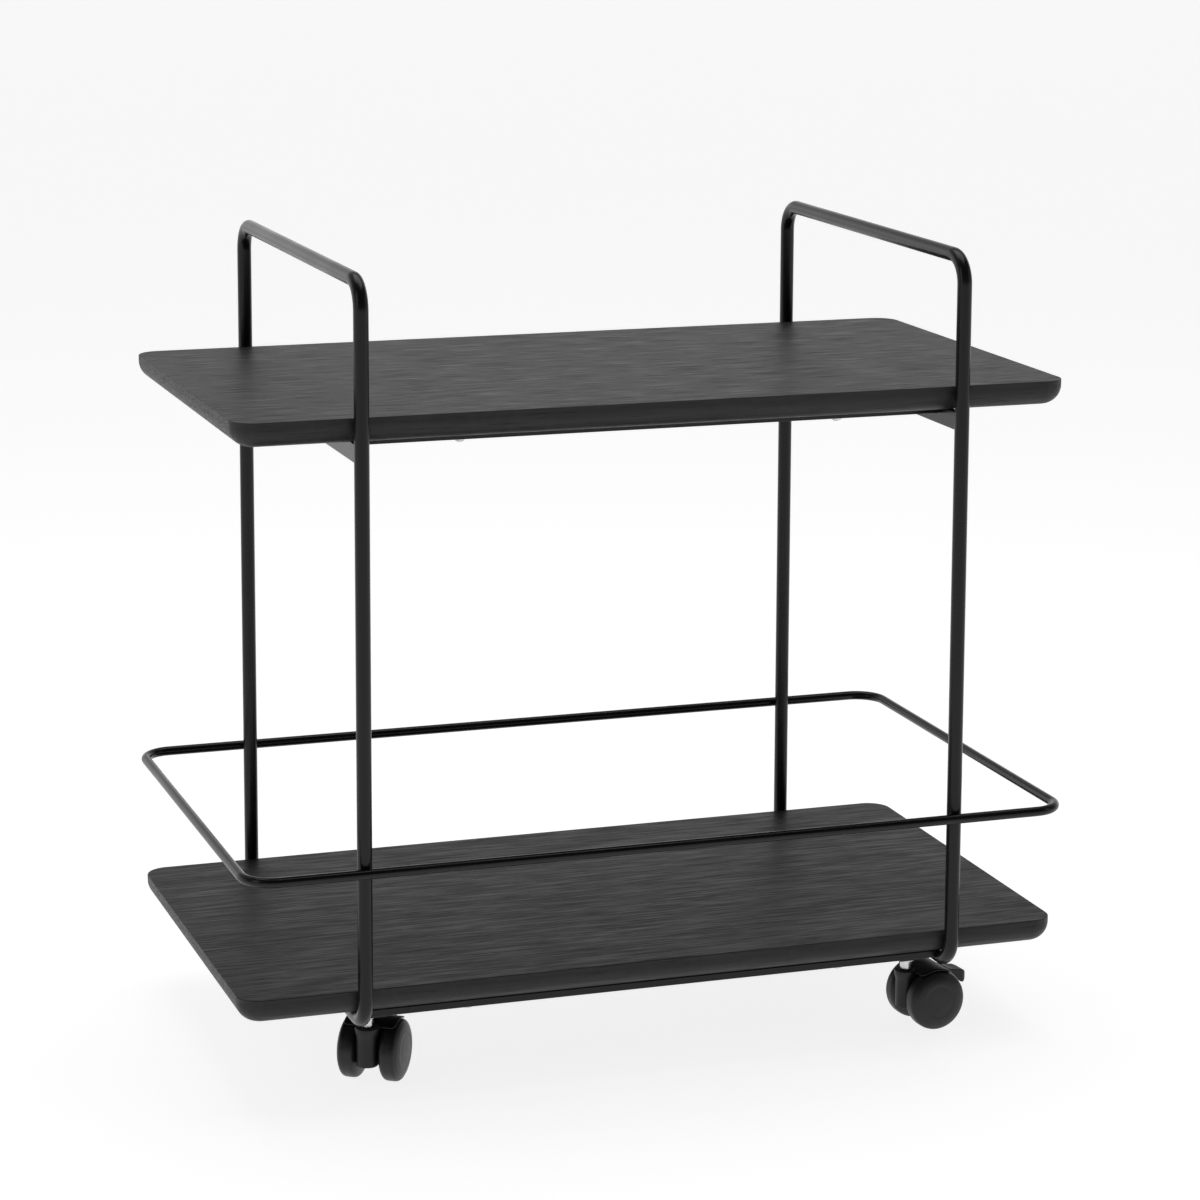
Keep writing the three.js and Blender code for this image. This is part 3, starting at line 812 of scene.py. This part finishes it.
def stem(name, place):
    low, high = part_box(f"stem_{name}")
    plate_low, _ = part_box(f"caster_plate_{name}")
    nut_low, nut_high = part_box(f"stem_nut_{name}")
    flats_low = plate_low.z - 4.1 * MM
    seat = plate_low.z - 0.3 * MM
    collar_top = flats_low + 0.5 * MM
    profile = [(0, low.z), (3.5 * MM, low.z), (STEM_RADIUS, low.z + 0.5 * MM)]
    profile += [(STEM_RADIUS, 50 * MM), (STEM_COLLAR, 50.2 * MM)]
    profile += [(STEM_COLLAR, collar_top), (0, collar_top)]
    shape = boolean(lathe(profile, 48), hexagon(STEM_FLATS, flats_low, seat, 1.2 * MM), "UNION")
    screw_part = thread(THREAD_RADIUS, THREAD_PITCH, seat - 0.5 * MM, high.z)
    shape = boolean(shape, screw_part, "UNION")
    crisp(finish_piece(f"threaded_stem_{name}", shape, ZINC, CART, [f"stem_{name}"], place))
    nut = hexagon(NUT_FLATS, nut_low.z, nut_high.z, 1.4 * MM)
    under, over = nut_low.z - 0.01, nut_high.z + 0.01
    hole = lathe([(0, under), (NUT_BORE, under), (NUT_BORE, over), (0, over)], 40)
    nut = boolean(nut, hole, "DIFFERENCE")
    crisp(finish_piece(f"hex_nut_{name}", nut, ZINC, CART, [f"stem_nut_{name}"], place))


def mounting_plate(name, place):
    low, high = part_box(f"caster_plate_{name}")
    middle = place.translation
    shape = flat_bar(low, high, holes=[(middle.x, middle.y, PLATE_HOLE)])
    crisp(finish_piece(f"drilled_plate_{name}", shape, STEEL, CART, [f"caster_plate_{name}"]))


for name in CASTERS:
    place, axle, spread = caster_facts(name)
    body = f"caster_{name}"
    mounting_plate(name, place)
    stem(name, place)
    housing(name, place, axle, spread)
    pin(f"axle_{name}", body, *AXLE, axle, place)
    for hand in ("a", "b"):
        wheel(name, hand, place, axle, spread)
    NODES[f"stem_clip_{name}"].data.materials.clear()
    NODES[f"stem_clip_{name}"].data.materials.append(ZINC)
    if name in BRAKED:
        lever(name, place)
        spot = place.inverted() @ Vector(JOINTS[f"brake_{name}"]["pos_m"])
        pin(f"brake_pin_{name}", body, *BRAKE_PIN, spot, place)

# ------------------------------------------------------------------ studio

FLOOR_HALF = 40.0
floor_mesh = bpy.data.meshes.new("studio_floor")
floor_shape = bmesh.new()
bmesh.ops.create_grid(floor_shape, x_segments=8, y_segments=8, size=FLOOR_HALF)
floor_shape.to_mesh(floor_mesh)
floor_shape.free()
floor_mesh.materials.append(pale_floor())
floor = bpy.data.objects.new("studio_floor", floor_mesh)
bpy.context.scene.collection.objects.link(floor)
floor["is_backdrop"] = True

BACKDROP = 1.2
DARK_SIDE = 0.04                    # the unlit room in front of the cart


def studio_world():
    """White backdrop behind the cart that fades into a dark room in front of it."""
    world = bpy.data.worlds.new("studio")
    world.use_nodes = True
    tree = world.node_tree
    heading = tree.nodes.new("ShaderNodeTexCoord").outputs["Generated"]
    split = tree.nodes.new("ShaderNodeSeparateXYZ")
    tree.links.new(heading, split.inputs[0])
    fades = []
    # Axis, where the fade starts and ends along it, and the values there.
    fade_rows = (("Y", -0.1, 0.6, DARK_SIDE, BACKDROP), ("Z", 0.12, 0.5, 1.0, 0.3))
    for axis, start, end, first, last in fade_rows:
        fade = tree.nodes.new("ShaderNodeMapRange")
        fade.interpolation_type = "SMOOTHSTEP"
        tree.links.new(split.outputs[axis], fade.inputs["Value"])
        limits = {"From Min": start, "From Max": end, "To Min": first, "To Max": last}
        for socket, value in limits.items():
            fade.inputs[socket].default_value = value
        fades.append(fade.outputs["Result"])
    both = tree.nodes.new("ShaderNodeMath")
    both.operation = "MULTIPLY"
    for k, fade in enumerate(fades):
        tree.links.new(fade, both.inputs[k])
    tree.links.new(both.outputs[0], tree.nodes["Background"].inputs["Strength"])
    tree.nodes["Background"].inputs["Color"].default_value = (1.0, 1.0, 1.0, 1.0)
    bpy.context.scene.world = world


studio_world()


def softbox(name, place, target, size, power):
    light = bpy.data.lights.new(name, "AREA")
    light.shape = "RECTANGLE"
    light.size, light.size_y = size
    light.energy = power
    lamp = bpy.data.objects.new(name, light)
    lamp.location = place
    lamp.rotation_mode = "QUATERNION"
    lamp.rotation_quaternion = (Vector(target) - Vector(place)).to_track_quat("-Z", "Y")
    bpy.context.scene.collection.objects.link(lamp)


MIDDLE = (0.0, 0.0, 0.35)
softbox("overhead", (0.2, 0.3, 2.6), MIDDLE, (2.4, 1.6), 25)
softbox("left_bank", (-2.3, -0.9, 1.4), MIDDLE, (0.8, 1.6), 6)
softbox("right_bank", (2.4, -1.2, 1.2), MIDDLE, (0.8, 1.6), 3)

# ------------------------------------------------------------------ camera

LENS = 109.41                       # on a 36 mm sensor
CAMERA_PLACE = Vector((-0.9607, -2.8601, 1.0372))
CAMERA_YAW = 0.3263
CAMERA_PITCH = -0.1657
CAMERA_ROLL = 0.0039
CAMERA_SHIFT = -0.1728

forward = Vector((math.sin(CAMERA_YAW) * math.cos(CAMERA_PITCH),
                  math.cos(CAMERA_YAW) * math.cos(CAMERA_PITCH), math.sin(CAMERA_PITCH)))
level_right = Vector((math.cos(CAMERA_YAW), -math.sin(CAMERA_YAW), 0))
level_up = level_right.cross(forward)
right = level_right * math.cos(CAMERA_ROLL) + level_up * math.sin(CAMERA_ROLL)
up = level_up * math.cos(CAMERA_ROLL) - level_right * math.sin(CAMERA_ROLL)

lens = bpy.data.cameras.new("camera")
lens.sensor_width = 36
lens.lens = LENS
lens.shift_y = CAMERA_SHIFT
lens.clip_start = 0.05
lens.clip_end = 200
camera = bpy.data.objects.new("camera", lens)
facing = Matrix((right, up, -forward)).transposed().to_4x4()
camera.matrix_world = Matrix.Translation(CAMERA_PLACE) @ facing
bpy.context.scene.collection.objects.link(camera)
bpy.context.scene.camera = camera
bpy.context.scene.view_settings.view_transform = "Standard"

# ------------------------------------------------------------------ sizes

low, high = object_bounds()
